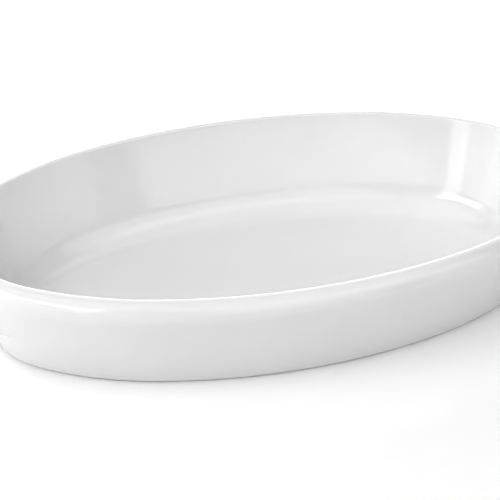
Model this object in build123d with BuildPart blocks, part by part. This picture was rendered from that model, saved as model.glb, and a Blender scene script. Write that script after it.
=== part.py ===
from build123d import *
from math import asin, atan2, cos, degrees, hypot, radians, sin, sqrt, tan
import os

# Oval gratin dish in one piece of glazed porcelain, with an ear at each end.
# Millimetres, +Z up, origin on the table under the middle of the dish, +X along its length.

# Outside of the dish, without the ears
rim_length = 254.0
rim_width = 147.0
dish_height = 42.5
foot_inset = 15.0

# The oval has three tangent arcs a quarter: how far the first two turn, and how full its ends are
end_turn = 52.0
shoulder_turn = 22.0
end_fullness = 1.26

# Rim section: a small inner edge, a narrow crest and a broad roll down the outside
rim_thickness = 7.0
rim_inner_edge = 1.2
rim_crest = 0.2

# Inside: the wall leans in from the rim and meets the floor in a broad cove
floor_thickness = 4.2
inner_lean = 25.0
floor_cove = 16.0

# Foot: the wall stands on a ring, and the floor is raised inside it
foot_ring = 6.0
foot_recess = 1.5
foot_outer_edge = 3.0
recess_lean = 50.0

# Ears: level with the rim, tapering to a round nose, hollowed underneath for the fingers
ear_reach = 16.0
ear_root = 68.0
ear_flank = 26.0
ear_start = 27.0
ear_turn_in = 60.0
ear_band = 0.8
ear_lower_edge = 1.5
ear_blend = 16.0
blend_share = 0.45
hollow_depth = 16.0
hollow_ledge = 2.4
hollow_lean = 35.0
hollow_curve = 10.0

# Sizes that follow from the ones above
rim_end = rim_length / 2
rim_side = rim_width / 2
rim_roll = rim_thickness - rim_inner_edge - rim_crest
floor_height = foot_recess + floor_thickness

# The straight flank of the wall leaves the foot and touches the rim roll, which cuts its corner back
roll_in = foot_inset - rim_roll
roll_up = dish_height - rim_roll
wall_lean = atan2(roll_in, roll_up) + asin(rim_roll / hypot(roll_in, roll_up))
corner_out = dish_height * tan(wall_lean) - foot_inset

# The three arcs of a quarter close it at the middle of the end and at the middle of the side
end_radius = end_fullness * rim_side ** 2 / rim_end
end_angle = radians(end_turn)
side_turn = 90 - end_turn - shoulder_turn
side_angle = radians(end_turn + shoulder_turn)
left_in_x = rim_end - end_radius * (1 - cos(end_angle))
left_in_y = rim_side - end_radius * sin(end_angle)
shoulder_x = cos(end_angle) - cos(side_angle)
shoulder_y = sin(side_angle) - sin(end_angle)
side_x = cos(side_angle)
side_y = 1 - sin(side_angle)
side_radius = (left_in_y * shoulder_x - left_in_x * shoulder_y) / (side_y * shoulder_x - side_x * shoulder_y)
shoulder_radius = (left_in_x - side_radius * side_x) / shoulder_x

# The nose of an ear touches both flanks, which run straight on into the wall
flank_angle = radians(ear_flank)
root_x = rim_end * sqrt(1 - (ear_root / rim_width) ** 2)
ear_point = root_x + ear_root / 2 / tan(flank_angle) + corner_out / sin(flank_angle)
ear_tip = rim_end + ear_reach + corner_out
nose_radius = (ear_point - ear_tip) / (1 / sin(flank_angle) - 1)
nose_end_x = ear_tip - nose_radius * (1 - sin(flank_angle))
nose_end_y = nose_radius * cos(flank_angle)
flank_run = (nose_end_x - rim_end + ear_start) / cos(flank_angle)

# The blend of a flank into the wall stays on its straight run, between the nose and the end arc
wall_end = end_radius + corner_out
from_arc_x = nose_end_x - rim_end + end_radius
flank_across = from_arc_x * sin(flank_angle) + nose_end_y * cos(flank_angle)
blend_room = abs((hypot(from_arc_x, nose_end_y) ** 2 - wall_end ** 2) / (wall_end - flank_across) / 2)
blend_radius = min(ear_blend, blend_share * blend_room)

# The edge of an ear holds the roll, a band and the rounded lower edge, and the hollow lies under it
ear_edge = rim_roll * (1 + sin(wall_lean)) + ear_band + ear_lower_edge * (1 - sin(wall_lean))
hollow_top = dish_height - ear_edge
hollow_foot = hollow_top - hollow_depth
ledge_out = hollow_foot * tan(wall_lean) - foot_inset + hollow_ledge


def oval(out):
    """The rim's oval, or the line that runs round it at one distance."""
    with BuildSketch() as plan:
        with BuildLine():
            end = CenterArc((rim_end - end_radius, 0), end_radius + out, -end_turn, 2 * end_turn)
            shoulder = JernArc(end @ 1, end % 1, shoulder_radius + out, shoulder_turn)
            side = JernArc(shoulder @ 1, shoulder % 1, side_radius + out, 2 * side_turn)
            far_shoulder = JernArc(side @ 1, side % 1, shoulder_radius + out, shoulder_turn)
            mirror(end, about=Plane.YZ)
            mirror([shoulder, side, far_shoulder], about=Plane.XZ)
        make_face()
    return plan.sketch


# The hollow's inner side leans out from a ledge on the wall
with BuildPart() as hollow_side:
    with BuildSketch(Plane.XY.offset(hollow_foot)):
        add(oval(ledge_out))
    extrude(amount=hollow_depth, taper=-hollow_lean)

# The room for the fingers lies outside it, and curves out to the underside of the ears
with BuildPart() as finger_room:
    with BuildSketch(Plane.XY.offset(hollow_foot)):
        add(oval(rim_thickness + 2 * ear_reach))
    extrude(amount=hollow_depth)
    add(hollow_side.part, mode=Mode.SUBTRACT)
    fillet(finger_room.faces().sort_by(Axis.Z)[-1].inner_wires()[0].edges(), radius=hollow_curve)

with BuildPart() as dish:
    # Both ears are the ends of one long plate, which the wall and the inside cut short
    with BuildSketch(Plane.XY.offset(dish_height)):
        with BuildLine():
            nose = JernArc((ear_tip, 0), (0, 1), nose_radius, 90 - ear_flank)
            flank = Line(nose @ 1, nose @ 1 + (nose % 1) * flank_run)
            turn_in = JernArc(flank @ 1, flank % 1, ear_turn_in, ear_flank)
            Line(turn_in @ 1, (0, (turn_in @ 1).Y))
            mirror(about=Plane.YZ)
            mirror(about=Plane.XZ)
        make_face()
    extrude(amount=hollow_foot - dish_height, taper=degrees(wall_lean))
    add(finger_room.part, mode=Mode.SUBTRACT)
    lower_edges = dish.edges(Select.NEW)
    fillet(lower_edges, radius=ear_lower_edge)

    # Outside of the wall, which each flank of an ear meets in a wide blend
    with BuildSketch(Plane.XY.offset(dish_height)):
        add(oval(corner_out))
    extrude(amount=-dish_height, taper=degrees(wall_lean))
    ear_creases = dish.edges(Select.NEW).group_by(Axis.Z)[-1]
    fillet(ear_creases, radius=blend_radius)
    fillet(dish.faces().sort_by(Axis.Z)[0].edges(), radius=foot_outer_edge)

    # Inside of the dish, then the cove where its wall meets the floor
    with BuildSketch(Plane.XY.offset(dish_height)):
        add(oval(-rim_thickness))
    extrude(amount=floor_height - dish_height, taper=inner_lean, mode=Mode.SUBTRACT)
    floor = dish.faces(Select.LAST).sort_by(Axis.Z)[0]
    fillet(floor.edges(), radius=floor_cove)

    # Rim: the roll runs round the outside, ears included, and the edge inside it is small
    fillet(dish.faces().sort_by(Axis.Z)[-1].outer_wire().edges(), radius=rim_roll)
    fillet(dish.faces().sort_by(Axis.Z)[-1].inner_wires()[0].edges(), radius=rim_inner_edge)

    # Underside: the floor is raised inside the foot ring, whose inner side slopes
    with BuildSketch():
        add(oval(-foot_inset - foot_ring))
    extrude(amount=foot_recess, taper=recess_lean, mode=Mode.SUBTRACT)

dish.part.label = "dish"

os.makedirs("parts", exist_ok=True)
export_step(dish.part, "parts/dish.step")
print("dish volume", round(dish.part.volume), "solids", len(dish.part.solids()), "faces", len(dish.part.faces()))
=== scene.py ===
from math import acos, asin, atan2, cos, hypot, pi, radians, sin, sqrt, tan

import bmesh
import bpy
from mathutils import Matrix, Vector


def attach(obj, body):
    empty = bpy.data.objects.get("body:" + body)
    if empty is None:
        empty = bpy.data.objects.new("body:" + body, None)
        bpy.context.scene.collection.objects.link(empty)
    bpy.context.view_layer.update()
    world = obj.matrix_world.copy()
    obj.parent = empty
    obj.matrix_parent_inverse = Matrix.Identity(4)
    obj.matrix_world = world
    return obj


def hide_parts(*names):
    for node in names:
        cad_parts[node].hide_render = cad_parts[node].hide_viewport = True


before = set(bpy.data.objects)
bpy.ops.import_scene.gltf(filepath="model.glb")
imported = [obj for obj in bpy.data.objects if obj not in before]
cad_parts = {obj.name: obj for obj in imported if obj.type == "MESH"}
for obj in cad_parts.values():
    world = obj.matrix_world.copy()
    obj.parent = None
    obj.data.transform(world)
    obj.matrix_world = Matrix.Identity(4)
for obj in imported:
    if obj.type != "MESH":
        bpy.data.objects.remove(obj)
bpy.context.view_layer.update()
print("frame loaded")

mm = 0.001


def linear(hexColour):
    # sRGB hex text to a linear colour with alpha
    parts = [int(hexColour[i:i + 2], 16) / 255 for i in (0, 2, 4)]
    return [c / 12.92 if c <= 0.04045 else ((c + 0.055) / 1.055) ** 2.4 for c in parts] + [1.0]


def addNode(tree, kind, settings=None, links=None):
    # lower-case names are the node's own settings, the others are sockets
    node = tree.nodes.new(kind)
    for name, value in (settings or {}).items():
        if isinstance(name, int) or not name[0].islower():
            node.inputs[name].default_value = value
        else:
            setattr(node, name, value)
    for name, source in (links or {}).items():
        tree.links.new(source, node.inputs[name])
    return node


def newMaterial(name):
    material = bpy.data.materials.new(name)
    material.use_nodes = True
    material.node_tree.nodes.clear()
    return material, material.node_tree


def direction(turn):
    return Vector((cos(turn), sin(turn)))


# the dish's shape, in millimetres and degrees
dishShape = {
    "rimLength": 254.0,       # without the ears
    "rimWidth": 147.0,
    "height": 42.5,
    "footInset": 15.0,        # how far the foot stands in from the rim
    "endTurn": 52.0,          # three tangent arcs a quarter: turns of the first two
    "shoulderTurn": 22.0,
    "endFullness": 1.26,
    "rimThickness": 7.0,
    "innerEdge": 1.2,
    "crest": 0.2,
    "floorUp": 5.7,
    "innerLean": 25.0,
    "cove": 16.0,
    "footRing": 6.0,
    "footRecess": 1.5,
    "footEdge": 3.0,
    "recessLean": 50.0,
    "recessEdge": 1.0,        # small rounds at the recess's roof and at the ring's inner edge
    "ringEdge": 0.8,
    "earReach": 16.0,
    "earRoot": 68.0,
    "earFlank": 26.0,
    "earBand": 0.8,
    "earLowerEdge": 1.5,
    "earBlend": 16.0,
    "hollowDepth": 16.0,
    "hollowLedge": 2.4,
    "hollowLean": 35.0,
    "hollowCurve": 10.0,
    "rings": 480,             # meridians round the dish
    "skin": 0.04,             # outside kept this much inside the solid's facets
    "weld": 0.004,            # points closer than this are joined
    "sliver": 0.002,
}
s = dishShape

# rows of the mesh: steps round each corner, and shares of the way along each flat stretch
meshRows = {
    "small": 4,
    "foot": 12,
    "roof": 30,
    "edge": 8,
    "roll": 24,
    "cove": 20,
    "roofBend": 1.4,          # gathers the rows of the hollow's roof near the wall
    "underside": (0, 0.35, 0.65, 0.85, 0.96),
    "wall": (0.04, 0.3, 0.65, 0.96),
    "band": (0.1, 0.5, 0.9),
    "crest": (0.08, 0.25, 0.5, 0.75, 0.92),
    "floor": (0.04, 0.15, 0.35, 0.65, 1),
    "settle": 60,             # rounds in which an ear's lower edge finds its height
}
rows = meshRows
tiny = 1e-6

rimEnd = s["rimLength"] / 2
rimSide = s["rimWidth"] / 2
rimRoll = s["rimThickness"] - s["innerEdge"] - s["crest"]
rollUp = s["height"] - rimRoll
rollIn = s["footInset"] - rimRoll
wallLean = atan2(rollIn, rollUp) + asin(rimRoll / hypot(rollIn, rollUp))
cornerOut = s["height"] * tan(wallLean) - s["footInset"]

# the oval: each arc has a centre, a radius and the turn where it ends
turns = [radians(s["endTurn"]), radians(s["endTurn"] + s["shoulderTurn"]), pi / 2]
endRadius = s["endFullness"] * rimSide ** 2 / rimEnd
leftX = rimEnd - endRadius * (1 - cos(turns[0]))
leftY = rimSide - endRadius * sin(turns[0])
shoulderX = cos(turns[0]) - cos(turns[1])
shoulderY = sin(turns[1]) - sin(turns[0])
sideX, sideY = cos(turns[1]), 1 - sin(turns[1])
sideRadius = (leftY * shoulderX - leftX * shoulderY) / (sideY * shoulderX - sideX * shoulderY)
shoulderRadius = (leftX - sideRadius * sideX) / shoulderX
radii = [endRadius, shoulderRadius, sideRadius]
centres = [Vector((rimEnd - endRadius, 0))]
centres.append(centres[0] + direction(turns[0]) * (endRadius - shoulderRadius))
centres.append(centres[1] + direction(turns[1]) * (shoulderRadius - sideRadius))
runs = [endRadius * turns[0], shoulderRadius * (turns[1] - turns[0]), sideRadius * (turns[2] - turns[1])]

# an ear's outline at the rim: a round nose, a straight flank and a hollow blend onto the oval
flank = radians(s["earFlank"])
flankTurn = pi / 2 - flank
rootX = rimEnd * sqrt(1 - (s["earRoot"] / s["rimWidth"]) ** 2)
earPoint = rootX + s["earRoot"] / 2 / tan(flank)
earTip = rimEnd + s["earReach"]
noseRadius = (earPoint - earTip) / (1 / sin(flank) - 1)
noseCentre = Vector((earTip - noseRadius, 0))
flankOut = direction(flankTurn)
flankAcross = flankOut.dot(Vector((rootX, s["earRoot"] / 2)))
blendShare = (flankAcross + s["earBlend"] - flankOut.dot(centres[0])) / (endRadius + s["earBlend"])
blendTurn = flankTurn - acos(blendShare)
blendCentre = centres[0] + direction(blendTurn) * (endRadius + s["earBlend"])
flankStart = noseCentre + flankOut * noseRadius
flankEnd = blendCentre - flankOut * s["earBlend"]
flankLength = (flankEnd - flankStart).length
earRuns = [noseRadius * flankTurn, flankLength, s["earBlend"] * (flankTurn - blendTurn)]

# the hollow under an ear
earEdge = rimRoll * (1 + sin(wallLean)) + s["earBand"] + s["earLowerEdge"] * (1 - sin(wallLean))
hollowTop = s["height"] - earEdge
hollowFoot = hollowTop - s["hollowDepth"]
ledgeOut = hollowFoot * tan(wallLean) - s["footInset"] + s["hollowLedge"]


def ovalAt(share):
    # share 0 is the middle of an end and 1 the middle of a side
    run = share * sum(runs)
    start = 0.0
    for centre, radius, length, turn in zip(centres, radii, runs, turns):
        if run <= length or turn == turns[2]:
            return centre, radius, start + run / radius
        run -= length
        start = turn


def outOf(point):
    # how far a point in the first quarter lies outside the oval
    for centre, radius, turn in zip(centres, radii, turns):
        away = point - centre
        if atan2(away.y, away.x) <= turn + tiny or turn == turns[2]:
            return away.length - radius


def earAt(share):
    # a point of the ear's outline and the way it faces; share 0 is the tip and 1 the oval
    run = share * sum(earRuns)
    if run <= earRuns[0]:
        facing = direction(run / noseRadius)
        return noseCentre + facing * noseRadius, facing
    run -= earRuns[0]
    if run <= earRuns[1]:
        return flankStart.lerp(flankEnd, run / earRuns[1]), flankOut
    run -= earRuns[1]
    facing = direction(flankTurn - run / s["earBlend"])
    return blendCentre - facing * s["earBlend"], facing


def sideInset(up):
    return (s["height"] - up) * tan(wallLean) - cornerOut


def hollowUp(out):
    # height of the hollow's roof, from the ledge up its slope and round the curve
    slope = radians(s["hollowLean"])
    lipTurn = pi / 2 - slope
    lipLength = s["earLowerEdge"] * tan(lipTurn / 2)
    lipStart, lipEnd = ledgeOut - lipLength, ledgeOut + lipLength * sin(slope)
    curveLength = s["hollowCurve"] * tan(lipTurn / 2)
    corner = ledgeOut + s["hollowDepth"] * tan(slope)
    curveStart, curveEnd = corner - curveLength * sin(slope), corner + curveLength
    if out <= lipStart:
        return hollowFoot
    if out < lipEnd:
        return hollowFoot + s["earLowerEdge"] - sqrt(s["earLowerEdge"] ** 2 - (out - lipStart) ** 2)
    if out <= curveStart:
        return hollowFoot + (out - ledgeOut) / tan(slope)
    if out < curveEnd:
        return hollowTop - s["hollowCurve"] + sqrt(s["hollowCurve"] ** 2 - (curveEnd - out) ** 2)
    return hollowTop


straightAngle = pi / 2 - 1e-4   # half the angle from which a corner counts as straight
cornerShare = 0.49              # how much of a side a corner's round may take
lipShare = 0.45                 # the same for the ear's lower edge on a narrow roof
narrowRoof = 1e-3               # millimetres, below which the hollow has no roof


def roundCorner(before, corner, after, radius, steps):
    # points of the arc that rounds a corner, tangent to both of its sides
    a, b = before - corner, after - corner
    if min(a.length, b.length, radius) < tiny:
        return [corner.copy() for _ in range(steps + 1)]
    half = a.angle(b) / 2
    if half > straightAngle:
        return [corner.copy() for _ in range(steps + 1)]
    length = min(radius / tan(half), cornerShare * a.length, cornerShare * b.length)
    first, last = corner + a.normalized() * length, corner + b.normalized() * length
    weight = sin(half)
    points = []
    for i in range(steps + 1):
        t = i / steps
        parts = ((1 - t) ** 2, 2 * weight * t * (1 - t), t ** 2)
        points.append((first * parts[0] + corner * parts[1] + last * parts[2]) / sum(parts))
    return points


def along(first, last, shares):
    return [first.lerp(last, share) for share in shares]


def section(share):
    # every point of the wall's section, from under the middle of the dish to the middle of its floor
    centre, radius, turn = ovalAt(share)
    facing = direction(turn)
    skin = s["skin"]
    edge, edgeFacing = centre + facing * radius, facing
    if turn < blendTurn:
        edge, edgeFacing = earAt(turn / blendTurn)

    def onOval(out, up):
        return (centre + facing * (radius + out)).to_3d() + Vector((0, 0, up))

    def onEdge(inset, up):
        return (edge - edgeFacing * (inset + skin)).to_3d() + Vector((0, 0, up))

    # underside, foot ring and the foot's outer edge
    recessIn = -s["footInset"] - s["footRing"]
    recessTop = recessIn - s["footRecess"] * tan(radians(s["recessLean"]))
    roof, ringIn = onOval(recessTop, s["footRecess"]), onOval(recessIn, 0)
    middleUnder = Vector((0, 0, s["footRecess"]))
    footCorner = onOval(-s["footInset"] - skin, 0)
    wallFoot = onOval(-sideInset(hollowFoot) - skin, hollowFoot)
    under = roundCorner(middleUnder, roof, ringIn, s["recessEdge"], rows["small"])
    foot = roundCorner(ringIn, footCorner, wallFoot, s["footEdge"], rows["foot"])
    points = along(middleUnder, under[0], rows["underside"]) + under
    points += roundCorner(roof, ringIn, footCorner, s["ringEdge"], rows["small"])
    points += foot
    points += along(foot[-1], wallFoot, rows["wall"])

    # the hollow's roof, which meets the ear's side at its lower edge
    up = hollowFoot
    for _ in range(rows["settle"]):
        up = hollowUp(outOf(edge - edgeFacing * sideInset(up)))
    lower = onEdge(sideInset(up), up)
    width = (lower - wallFoot).to_2d().length
    rollFoot = onEdge(rimRoll * (1 - cos(wallLean)), rollUp - rimRoll * sin(wallLean))
    lip = min(s["earLowerEdge"], lipShare * width)
    roofEnd = lower.lerp(wallFoot, lip / width) if width > narrowRoof else lower.copy()
    for i in range(rows["roof"] + 1):
        spot = wallFoot.lerp(roofEnd, (i / rows["roof"]) ** rows["roofBend"])
        spot.z = hollowUp(outOf(spot.to_2d())) if width > narrowRoof else hollowFoot
        points.append(spot)
    roofEnd = points[-1]
    if width > narrowRoof:
        sideStart = lower.lerp(rollFoot, lip / (rollFoot - lower).length)
        before, after = roofEnd * 3 - lower * 2, sideStart * 3 - lower * 2
        points += roundCorner(before, lower, after, s["earLowerEdge"], rows["edge"])
    else:
        points += [lower.copy() for _ in range(rows["edge"] + 1)]
    points += along(points[-1], rollFoot, rows["band"])

    # rim: the roll, the crest over the ear and the small inner edge
    for i in range(rows["roll"] + 1):
        angle = -wallLean + (pi / 2 + wallLean) * i / rows["roll"]
        points.append(onEdge(rimRoll * (1 - cos(angle)), rollUp + rimRoll * sin(angle)))
    innerTop = onOval(-s["rimThickness"], s["height"])
    floorIn = s["rimThickness"] + (s["height"] - s["floorUp"]) * tan(radians(s["innerLean"]))
    floorCorner = onOval(-floorIn, s["floorUp"])
    outward = points[-1] + (points[-1] - innerTop) * 9
    inner = roundCorner(outward, innerTop, floorCorner, s["innerEdge"], rows["edge"])
    points += along(points[-1], inner[0], rows["crest"])
    points += inner

    # inside wall, cove and floor
    middle = Vector((0, 0, s["floorUp"]))
    cove = roundCorner(innerTop, floorCorner, middle, s["cove"], rows["cove"])
    points += along(inner[-1], cove[0], rows["wall"])
    points += cove
    points += along(cove[-1], middle, rows["floor"])
    return points


def makeDish():
    rings = s["rings"]
    quarter = rings // 4
    sections = [section(i / quarter) for i in range(quarter + 1)]
    mesh = bmesh.new()
    row = mesh.verts.layers.int.new("row")
    profile = []
    for i, point in enumerate(sections[quarter]):
        vert = mesh.verts.new((0, point.y * mm, point.z * mm))
        vert[row] = i
        profile.append(vert)
    edges = [mesh.edges.new(pair) for pair in zip(profile, profile[1:])]
    bmesh.ops.spin(mesh, geom=profile + edges, cent=(0, 0, 0), axis=(0, 0, 1), dvec=(0, 0, 0),
                   angle=2 * pi, steps=rings, use_merge=True, use_duplicate=False)
    # each ring of the round dish goes onto the oval, and the ears grow out of it
    for vert in mesh.verts:
        turn = atan2(vert.co.y, vert.co.x) % (2 * pi)
        ring = round(turn / (2 * pi) * rings) % rings
        side, step = divmod(ring, quarter)
        point = sections[step if side % 2 == 0 else quarter - step][vert[row]]
        alongSign = 1 if side in (0, 3) else -1
        acrossSign = 1 if side in (0, 1) else -1
        vert.co = (point.x * mm * alongSign, point.y * mm * acrossSign, point.z * mm)
    bmesh.ops.remove_doubles(mesh, verts=mesh.verts, dist=s["weld"] * mm)
    bmesh.ops.dissolve_degenerate(mesh, edges=mesh.edges, dist=s["sliver"] * mm)
    bmesh.ops.recalc_face_normals(mesh, faces=mesh.faces)
    for face in mesh.faces:
        face.smooth = True
    data = bpy.data.meshes.new("glazedDish")
    mesh.to_mesh(data)
    mesh.free()
    dish = bpy.data.objects.new("glazedDish", data)
    bpy.context.collection.objects.link(dish)
    return dish


# Hard porcelain, slip-cast and glazed: cool white, a clear gloss with a faint ripple in its reflections,
# and a dry, slightly warmer ring underneath where the foot is wiped clean of glaze
glazeLook = {
    "white": "ECECEC",
    "shade": "E8E8E8",
    "bare": "E4E0D8",
    "cloudMm": 40.0,          # size of the clouds between white and shade
    "roughness": (0.06, 0.10),
    "rippleMm": 9.0,          # spacing of the ripples
    "rippleHighMm": 0.006,    # and their height
    "bareRoughness": 0.75,
    "grainMm": 0.35,          # fired grain of the bare ring
    "grainHighMm": 0.03,
    "ior": 1.5,
    "bareUpMm": 0.3,          # how far up the ring the body is bare
}


def glazedPorcelain():
    look = glazeLook
    material, tree = newMaterial("glazedPorcelain")
    place = addNode(tree, "ShaderNodeTexCoord").outputs["Object"]
    cloud = addNode(tree, "ShaderNodeTexNoise", {"Scale": 1 / (look["cloudMm"] * mm), "Detail": 3.0},
                    {"Vector": place})
    tint = addNode(tree, "ShaderNodeMix", {"data_type": "RGBA"}, {"Factor": cloud.outputs["Fac"]})
    tint.inputs[6].default_value = linear(look["white"])
    tint.inputs[7].default_value = linear(look["shade"])
    smoothest, roughest = look["roughness"]
    gloss = addNode(tree, "ShaderNodeMapRange", {"To Min": smoothest, "To Max": roughest},
                    {"Value": cloud.outputs["Fac"]})
    ripple = addNode(tree, "ShaderNodeTexNoise", {"Scale": 1 / (look["rippleMm"] * mm), "Detail": 1.0},
                     {"Vector": place})
    bump = addNode(tree, "ShaderNodeBump", {"Distance": look["rippleHighMm"] * mm, "Strength": 1.0},
                   {"Height": ripple.outputs["Fac"]})
    glaze = addNode(tree, "ShaderNodeBsdfPrincipled", {"IOR": look["ior"]},
                    {"Base Color": tint.outputs[2], "Roughness": gloss.outputs[0],
                     "Normal": bump.outputs[0]})

    # the bare ring
    grain = addNode(tree, "ShaderNodeTexNoise", {"Scale": 1 / (look["grainMm"] * mm), "Detail": 2.0},
                    {"Vector": place})
    grainBump = addNode(tree, "ShaderNodeBump", {"Distance": look["grainHighMm"] * mm},
                        {"Height": grain.outputs["Fac"]})
    body = addNode(tree, "ShaderNodeBsdfPrincipled",
                   {"Base Color": linear(look["bare"]), "Roughness": look["bareRoughness"],
                    "IOR": look["ior"]}, {"Normal": grainBump.outputs[0]})
    up = addNode(tree, "ShaderNodeSeparateXYZ", None, {"Vector": place})
    bareUp = look["bareUpMm"] * mm
    bare = addNode(tree, "ShaderNodeMapRange",
                   {"From Min": bareUp * 0.6, "From Max": bareUp, "To Min": 1.0, "To Max": 0.0},
                   {"Value": up.outputs["Z"]})
    both = addNode(tree, "ShaderNodeMixShader", None,
                   {"Fac": bare.outputs[0], 1: glaze.outputs[0], 2: body.outputs[0]})
    addNode(tree, "ShaderNodeOutputMaterial", None, {"Surface": both.outputs[0]})
    return material


dish = makeDish()
dish.data.materials.append(glazedPorcelain())
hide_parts("dish")
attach(dish, "root")
print("dish made:", len(dish.data.vertices), "vertices,", len(dish.data.polygons), "faces")


# the room: metres, and brightness
studio = {
    "floorSize": 8.0,
    "floorWhite": "F4F4F4",
    "floorRoughness": 0.6,
    "floorGlow": 0.08,        # light that the sweep gives back from its own backlight
    "world": 0.15,
    "lightsAway": 1.5,
    "printGamma": 0.65,       # contrast of a studio print
}


# Matt white paper sweep: it runs out of sight and throws soft light up the outside of the dish
def makeFloor():
    mesh = bmesh.new()
    bmesh.ops.create_grid(mesh, x_segments=1, y_segments=1, size=studio["floorSize"] / 2)
    data = bpy.data.meshes.new("floor")
    mesh.to_mesh(data)
    mesh.free()
    floor = bpy.data.objects.new("floor", data)
    bpy.context.collection.objects.link(floor)
    material, tree = newMaterial("whiteSweep")
    sheet = addNode(tree, "ShaderNodeBsdfPrincipled",
                    {"Base Color": linear(studio["floorWhite"]), "Roughness": studio["floorRoughness"],
                     "Emission Color": (1, 1, 1, 1), "Emission Strength": studio["floorGlow"]})
    addNode(tree, "ShaderNodeOutputMaterial", None, {"Surface": sheet.outputs[0]})
    data.materials.append(material)


# softboxes round the dish: azimuth and elevation in degrees, width and height in metres, and how bright
# the face is; the key's panel and strip draw the bright foot and stripe on the inside at the right
softboxes = {
    "back": (90, 14, 2.41, 0.48, 6.00),
    "backLong": (95, 32, 3.18, 0.97, 0.59),
    "frontB": (332, 14, 1.14, 0.48, 0.90),
    "frontLong": (265, 19.5, 2.02, 0.34, 1.20),
    "frontTop": (300, 50, 1.66, 0.92, 1.27),
    "keyPanel": (203, 43, 0.95, 0.37, 3.48),
    "keyStrip": (224.8, 33, 0.15, 0.86, 2.36),
    "leftLow": (190, 18, 1.76, 0.53, 1.33),
    "leftSide": (165, 30, 1.46, 1.21, 0.86),
    "overhead": (270, 88, 1.73, 1.73, 1.01),
}


def addSoftbox(name, azimuth, elevation, width, height, brightness):
    data = bpy.data.lights.new(name, "AREA")
    data.shape = "RECTANGLE"
    data.size, data.size_y = width, height
    data.energy = pi * width * height * brightness
    light = bpy.data.objects.new(name, data)
    azimuth, elevation = radians(azimuth), radians(elevation)
    out = Vector((cos(azimuth) * cos(elevation), sin(azimuth) * cos(elevation), sin(elevation)))
    light.location = out * studio["lightsAway"]
    light.rotation_euler = (-out).to_track_quat("-Z", "Y").to_euler()
    bpy.context.collection.objects.link(light)


def makeWorld():
    world = bpy.data.worlds.new("studioRoom")
    bpy.context.scene.world = world
    world.use_nodes = True
    world.node_tree.nodes.clear()
    back = addNode(world.node_tree, "ShaderNodeBackground",
                   {"Color": (1, 1, 1, 1), "Strength": studio["world"]})
    addNode(world.node_tree, "ShaderNodeOutputWorld", None, {"Surface": back.outputs[0]})


# where the lens stands, from the point of the table that it is aimed at
lensAt = {
    "azimuth": -16.607,
    "elevation": 31.512,
    "away": 717.6 * mm,
    "aim": (1.82 * mm, 30.76 * mm),
    "pixels": 1709.0,         # its focal length in pixels of the picture
    "picture": 500,
    "sensor": 36.0,
    "clip": (0.05, 50.0),
}


def makeCamera():
    azimuth, elevation = radians(lensAt["azimuth"]), radians(lensAt["elevation"])
    back = Vector((sin(azimuth) * cos(elevation), -cos(azimuth) * cos(elevation), sin(elevation)))
    data = bpy.data.cameras.new("lens")
    data.sensor_width = lensAt["sensor"]
    data.lens = lensAt["pixels"] * lensAt["sensor"] / lensAt["picture"]
    data.clip_start, data.clip_end = lensAt["clip"]
    camera = bpy.data.objects.new("lens", data)
    camera.location = Vector((*lensAt["aim"], 0)) + back * lensAt["away"]
    camera.rotation_euler = (-back).to_track_quat("-Z", "Y").to_euler()
    bpy.context.collection.objects.link(camera)
    bpy.context.scene.camera = camera


makeFloor()
makeWorld()
for name, box in softboxes.items():
    addSoftbox(name, *box)
makeCamera()
viewSettings = bpy.context.scene.view_settings
viewSettings.view_transform = "Standard"
viewSettings.gamma = studio["printGamma"]
print("studio made")
